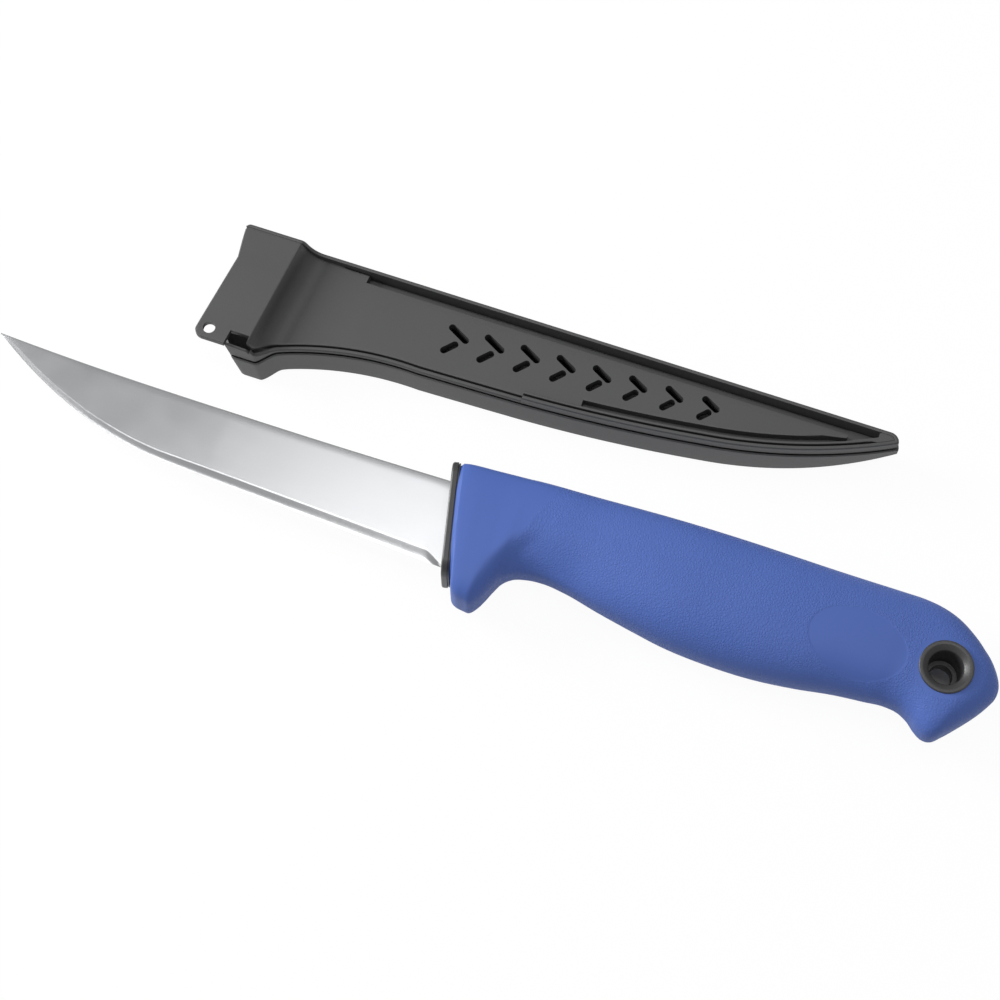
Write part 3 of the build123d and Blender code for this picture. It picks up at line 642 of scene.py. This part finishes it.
def shell_rings():
    """Each section runs from the middle line out under the floor, round the lower edge, up the
    side, over the seam's edge, down the groove and the lip, and in over the floor. The underside
    rises with the third power of the way to the tip. The mouth's near corner is cut off."""
    corner = [(-27.0, -24.2), (-25.6, -24.2), (-19.2, -34.4), (-18.7, -34.8), (-18.0, -COLLAR_SIDE)]
    lines = sheath_lines(np.concatenate([corner, CURVED_SIDE[1:]]), [0.0])
    bend = np.linspace(0, math.pi / 2, 5)
    inset = np.concatenate([[-1, -0.6, -0.3, 2.2], SHELL_ROUND - SHELL_ROUND * np.sin(bend), [0, 0],
                            SEAM_ROUND - SEAM_ROUND * np.cos(bend), [0.4, LIP_INSET - 0.02, LIP_INSET],
                            [SHELL_WALL, SHELL_WALL, 1.9, 2.3, -0.3, -0.6, -1]])
    height = np.concatenate([[0, 0, 0, 0], SHELL_ROUND - SHELL_ROUND * np.cos(bend), [4, SEAM - 0.8],
                             SEAM - SEAM_ROUND + SEAM_ROUND * np.sin(bend), [SEAM - 1.0, SEAM - 1.0],
                             [LIP_FOOT, LIP_FOOT, 2.3, 1.9], np.full(4, SHELL_WALL)])
    way = np.clip((lines[0][:, :1] - KEEL_START) / (SHEATH_TIP - KEEL_START), 0, 1)
    height = height + KEEL_RISE * way**3 * (1 - height / SEAM)
    return lean_end(sheath_points(lines, np.tile(inset, (len(way), 1)), height))


finish_sheath(sheath_skin("front_shell_tray", shell_rings(), False), "sheath_front_shell")

# Sheath, frame. The band between the two seams, in the shell's grey: it stands on the shell inside
# its lip, carries the back plate on a ledge, and rises to the collar over a hollow ramp.
RIM_HEIGHT, PANEL_HEIGHT = 13.0, 11.2
NEAR_RIM_X = 58.0
FRAME_ROUND, FRAME_INSET, MOUTH_ROUND = 0.5, 0.45, 1.2
FRAME_START, FREE_WALL_DROP, FREE_WALL_SLOPE = -19.2, 1.3, 0.1  # the near wall beside the ear
LEDGE = 8.2
RAMP_HOLLOW, RAMP_BLUR = 0.3, 1.6


def ramp(place, foot):
    """Height of the collar's ramp over a foot: a hollow arc down from the collar, its top edge
    rounded by averaging the sharp profile over the blur's width."""
    run = place[..., 0] - place[..., 1] * MOUTH_LEAN - RAMP_TOP_X
    x = np.linspace(-4, 12, 641)
    half = round(RAMP_BLUR / (x[1] - x[0]) / 2)
    hollow = (RAMP_HOLLOW * RAMP_RUN, foot + RAMP_HOLLOW * (COLLAR_TOP - foot))
    curve = arc((0, COLLAR_TOP), hollow, (RAMP_RUN, foot), 60)
    sharp = np.interp(x, np.append(curve[:, 0], RAMP_RUN), np.append(curve[:, 1], foot))
    share = np.ones(2 * half + 1) / (2 * half + 1)
    return np.interp(run, x, np.convolve(np.pad(sharp, half, mode="edge"), share, mode="valid"))


def frame_rings():
    """Closed section of the frame: outer face with a rounded top edge, inner wall, and the ledge
    with the foot that stands in the shell's lip. Its top follows panel, rim and ramp, its free
    wall beside the ear is lower and thinner, and its corner at the mouth is rounded."""
    lines = sheath_lines(CURVED_SIDE, [NEAR_RIM_X])
    start = int(np.argmax(lines[0][:, 0] > FRAME_START))
    lines = tuple(part[start:] for part in lines)
    outline = lines[0]
    x, count = outline[:, 0], len(outline)
    near = np.arange(count) < np.argmax(x)
    top = np.where(near & (x < NEAR_RIM_X), ramp(outline, PANEL_HEIGHT), ramp(outline, RIM_HEIGHT))
    lower = FREE_WALL_DROP + FREE_WALL_SLOPE * np.clip(x - FRAME_START, 0, 7)
    top -= np.where(near, lower, 0) * (1 - ease(x, -12.2, -11.6))
    bend = np.linspace(0, math.pi / 2, 6)
    inset = np.concatenate([[0.95, 0.8, 0.5, 0.0], FRAME_ROUND * (1 - np.cos(bend)),
                            [0.9, 1.0, 1.05, 1.05, 2.35, 2.35, 0.5]])
    inset[1:] += FRAME_INSET
    inset = np.tile(inset, (count, 1))
    inset[near & (x < -12.0), 10:14] -= 0.35
    from_mouth = np.where(near, MOUTH_ROUND, np.clip(x - x[-1], 0, MOUTH_ROUND))[:, None]
    corner = MOUTH_ROUND - np.sqrt(MOUTH_ROUND**2 - (MOUTH_ROUND - from_mouth) ** 2)
    inset[:, :10] = np.minimum(inset[:, :10] + corner, np.maximum(inset[:, :10], 1.4))
    drop = np.concatenate([FRAME_ROUND * (1 - np.sin(bend)), [0, 0.05, 0.2]])
    foot = np.tile([SEAM - 0.6, SEAM + 0.05, SEAM + 0.3, SEAM + 0.8], (count, 1))
    inner = np.tile([LEDGE, LEDGE, LIP_FOOT, LIP_FOOT], (count, 1))
    height = np.concatenate([foot, top[:, None] - drop[None, :], inner], axis=1)
    return lean_end(sheath_points(lines, inset, height))


finish_sheath(sheath_skin("frame_band", frame_rings(), True), "sheath_frame")

# Sheath, back plate. The side that faces the wearer: a sunk panel with eight drain slots like
# arrowheads, a moat along both edges, a hollow ramp up to the collar, and an ear with a hole.
MOAT_HEIGHT, MOAT_END, PANEL_END, NEAR_MOAT = 8.8, 146.8, 139.5, 2.8
FAR_MOAT_X, NEAR_MOAT_X = 9.0, 73.0
EAR_END, WALL_SLOT_END = -18.2, -12.9  # the slot beside the near wall's free end lies between
DRAINS, DRAIN_START, DRAIN_PITCH, DRAIN_WIDTH = 8, 34.4, 9.7, 1.9
DRAIN_SHRINK, DRAIN_CLIMB, DRAIN_Y = 0.035, 0.43, -12.2  # what each arrowhead loses and climbs
EAR_HOLE = (-23.4, -31.9, 1.6)
EAR_ROUND = 2.4
MOUTH_EDGE = 0.3


def plate_rings():
    """Sections from the middle line under the plate, up its edge and over rim, moat and panel back
    to the middle line. Each ring's heights follow from where its points lie."""
    steps = [-15.15, -9.85, FAR_MOAT_X, NEAR_RIM_X, NEAR_MOAT_X, PANEL_END]
    lines = sheath_lines(CURVED_SIDE, steps)
    outline = lines[0]
    x = outline[:, 0]
    near = np.arange(len(x)) <= np.argmax(x)
    close = (~near & (x < 2)) | (x > MOAT_END)  # here the plate's edge meets the frame's rim
    edge = np.where(near & (x < WALL_SLOT_END), 4.0, np.where(near, 2.0, 1.7))
    edge = np.where(near & (x < EAR_END), 0.0, edge)
    edge = np.where(close, 1.52, edge)
    corner = np.where(near, EAR_ROUND, MOUTH_ROUND)
    from_mouth = np.abs(x - np.where(near, x[0], x[-1]))
    inside = np.clip(from_mouth, 0, corner)
    edge = (edge + corner - np.sqrt(corner**2 - (corner - inside) ** 2))[:, None]
    rim = np.array([0.0, 0.0, 0.1, 0.35])[None, :] + edge
    near_rest = np.array([2.55, 2.72, NEAR_MOAT, 2.85, 3.0, 5.0, 5.12, 5.17, 5.25, 5.4])
    far_rest = np.array([2.1, 2.2, 2.3, 2.35, 2.4, 3.75, 3.85, 3.9, 3.98, 4.15])
    rest = np.where(near[:, None], near_rest, far_rest)
    rest = np.maximum(rest, edge + 0.4 + np.arange(10) * 0.02)
    middle = np.tile([-0.15, -0.4, -0.7, -1.0], (len(x), 1))
    top = np.concatenate([rim[:, 1:], rest, middle], axis=1)
    under = np.concatenate([middle[:, ::-1], rest[:, -1:], rim[:, :1]], axis=1)
    place = sheath_points(lines, top, 0 * top)
    px = place[:, :, 0]
    order = np.arange(top.shape[1])[None, :]
    side = near[:, None]
    rim_last, moat_last = 5, 9  # the last points of a section's top on the rim and in the moat
    rimmed = side & (x[:, None] > NEAR_RIM_X)
    height = np.where(rimmed & (order <= rim_last), RIM_HEIGHT, PANEL_HEIGHT)
    moated = (x[:, None] > np.where(side, NEAR_MOAT_X, FAR_MOAT_X)) & (px < PANEL_END)
    moat = moated & (order <= moat_last) & ((order > rim_last) | ~rimmed)
    height = np.where(moat, MOAT_HEIGHT, height)
    height = np.where(px > PANEL_END, RIM_HEIGHT, height)
    drop = np.zeros(top.shape[1])
    drop[[0, 1, 4, 5, 10, 11]] = [0.35, 0.1, 0.08, 0.25, 0.2, 0.05]
    stepped = np.where(order <= rim_last, rimmed & (px < PANEL_END), moated)
    stepped = (stepped | (order < 4)) & ~moat
    drop = drop[None, :] * np.where(close, 0.15, 1.0)[:, None]
    height = height - np.where(stepped | (order < 2), drop, 0)
    raised = ramp(place, PANEL_HEIGHT)
    height = np.where(raised > PANEL_HEIGHT + 0.01, raised - drop * (order < 2), height)
    short = MOUTH_EDGE - np.clip(from_mouth, 0, MOUTH_EDGE)[:, None]
    height -= MOUTH_EDGE - np.sqrt(MOUTH_EDGE**2 - short**2)
    low_place = sheath_points(lines, under, 0 * under)
    run = low_place[:, :, 0] - low_place[:, :, 1] * MOUTH_LEAN - RAMP_TOP_X
    low = np.interp(run, [-0.8, 4.4, 4.6], [COLLAR_TOP - 1.6, LEDGE + 0.2, LEDGE])
    inset = np.concatenate([under, top], axis=1)
    return sheath_points(lines, inset, np.concatenate([low, height], axis=1))


def drain_cutters():
    """Upright pegs of two half rounds and a straight run, one for each arm of each arrowhead, and
    a round one for the ear's hole. Each arrowhead is a little smaller than the one before it."""
    number = np.arange(DRAINS)
    size = 1 - DRAIN_SHRINK * number
    x, y = DRAIN_START + DRAIN_PITCH * number, DRAIN_Y + DRAIN_CLIMB * number
    far_arm, near_arm = np.array([[(0, 3.4), (4.4, 1)], [(0, -3.4), (2.2, -1)]])  # tail and head
    place, size = np.stack([x, y], axis=-1), size[:, None]
    tails, heads = (np.concatenate([place + size * far, place + size * near, [EAR_HOLE[:2]]])
                    for far, near in zip(far_arm, near_arm))
    radius = np.append(np.full(2 * DRAINS, DRAIN_WIDTH / 2), EAR_HOLE[2])
    base = np.append(np.full(2 * DRAINS, 7.0), 14.5)
    run = heads - tails
    angle = np.arctan2(run[:, 1], run[:, 0])[:, None]
    around = np.linspace(0, 2 * math.pi, 41)[:-1][None, :] + math.pi / 40
    at_head = (np.cos(around) > 0)[:, :, None]
    ends = np.where(at_head, heads[:, None, :], tails[:, None, :])
    way = np.stack([np.cos(around + angle), np.sin(around + angle)], axis=-1)
    ring = ends + radius[:, None, None] * way
    pegs = [np.insert(ring, 2, (base + rise)[:, None], axis=2) for rise in (0, 5.5)]
    return np.stack(pegs, axis=1)


def moat_end_cutter():
    """Prism over the moat's last stretch, from the panel's end to the solid tip: along the near rim
    to the moat's end, straight across to the frame and back."""
    outline, inward, _ = sheath_lines(CURVED_SIDE, [PANEL_END])
    rim = (outline + inward * NEAR_MOAT)[:np.argmax(outline[:, 0])]
    x = np.linspace(PANEL_END - 0.1, MOAT_END, 24)
    rim = np.stack([x, np.interp(x, rim[:, 0], rim[:, 1])], axis=-1)
    ring = np.concatenate([rim, [(MOAT_END, -1.0), (PANEL_END - 0.1, -1.0)]])
    return np.stack([np.insert(ring, 2, z, axis=1) for z in (MOAT_HEIGHT, 14.0)])


plate = sheath_skin("back_plate_panel", plate_rings(), False)
cutters = [*drain_cutters(), moat_end_cutter()]
carve(plate, [sheath_skin("cutter", rings, True) for rings in cutters])
finish_sheath(plate, "sheath_back_plate")

# Studio. A white floor that fades into the backdrop, three soft boxes and a pale sky, and the
# camera at the photograph's angle.
FLOOR_SHARE = 0.9  # share of the floor's white that no shadow darkens, straight on or mirrored
FLOOR_SIZE = 3.0
FLOOR_GREY = 0.5

floor_mesh = bpy.data.meshes.new("floor")
floor_corners = [(x * FLOOR_SIZE, y * FLOOR_SIZE, 0) for x, y in ((-1, -1), (1, -1), (1, 1), (-1, 1))]
floor_mesh.from_pydata(floor_corners, [], [(0, 1, 2, 3)])
floor = bpy.data.objects.new("floor", floor_mesh)
bpy.context.scene.collection.objects.link(floor)
white = Finish("floor_white", [FLOOR_GREY] * 3, 0.9)
x, y = white.axes(white.place(BLADE_TIP + [*EYELET, 0]))
open_floor = (x.math("POWER", 2.0) + y.math("POWER", 2.0)).math("SQRT").step(6.0, 8.0)
straight = white.node("ShaderNodeLightPath", {"output": "Is Camera Ray"})
mirrored = white.node("ShaderNodeLightPath", {"output": "Is Glossy Ray"})
glow = white.node("ShaderNodeEmission", {}, Strength=1.06)
surface = white.node("ShaderNodeMixShader", {}, (straight + mirrored) * open_floor * FLOOR_SHARE)
white.tree.links.new(white.shader.outputs[0], surface.socket.node.inputs[1])
white.tree.links.new(glow.socket, surface.socket.node.inputs[2])
white.tree.links.new(surface.socket, white.tree.nodes["Material Output"].inputs[0])
floor_mesh.materials.append(white.material)


def soft_box(name, where, target, size, power):
    """Rectangular area lamp at a place, facing a target; millimetres and watts."""
    lamp = bpy.data.lights.new(name, "AREA")
    lamp.shape, lamp.size, lamp.size_y, lamp.energy = "RECTANGLE", size[0] * MM, size[1] * MM, power
    box = bpy.data.objects.new(name, lamp)
    box.location = Vector(where) * MM
    box.rotation_euler = (Vector(target) * MM - box.location).to_track_quat("-Z", "Y").to_euler()
    bpy.context.scene.collection.objects.link(box)


soft_box("overhead", (40, 230, 1000), (40, 230, 0), (680, 420), 1.12)
soft_box("strip", (-70, -60, 1000), (-70, -60, 0), (900, 110), 1.4)
soft_box("left", (-1000, 40, 480), (0, 0, 0), (500, 400), 11.0)

world = bpy.data.worlds.new("studio")
world.use_nodes = True
bpy.context.scene.world = world
sky = world.node_tree
lit = sky.nodes["Background"]
seen, rays, path = (sky.nodes.new("ShaderNode" + kind)
                    for kind in ("Background", "LightPath", "MixShader"))
lit.inputs["Color"].default_value, lit.inputs["Strength"].default_value = (1, 1, 1, 1), 0.32
seen.inputs["Strength"].default_value = 1.0
sources = rays.outputs["Is Camera Ray"], lit.outputs[0], seen.outputs[0]
for socket, output in zip(path.inputs, sources):
    sky.links.new(output, socket)
sky.links.new(path.outputs[0], sky.nodes["World Output"].inputs[0])

lens = bpy.data.cameras.new("camera")
lens.lens, lens.sensor_width, lens.clip_start = 77.4, 36.0, 0.01
camera = bpy.data.objects.new("camera", lens)
camera.location = Vector((73.53, -196.92, 512.31)) * MM
look = Vector((1.87, -7.16, 0.0)) * MM - camera.location
camera.rotation_euler = look.to_track_quat("-Z", "Y").to_euler()
bpy.context.scene.collection.objects.link(camera)
bpy.context.scene.camera = camera
bpy.context.scene.view_settings.view_transform = "Standard"
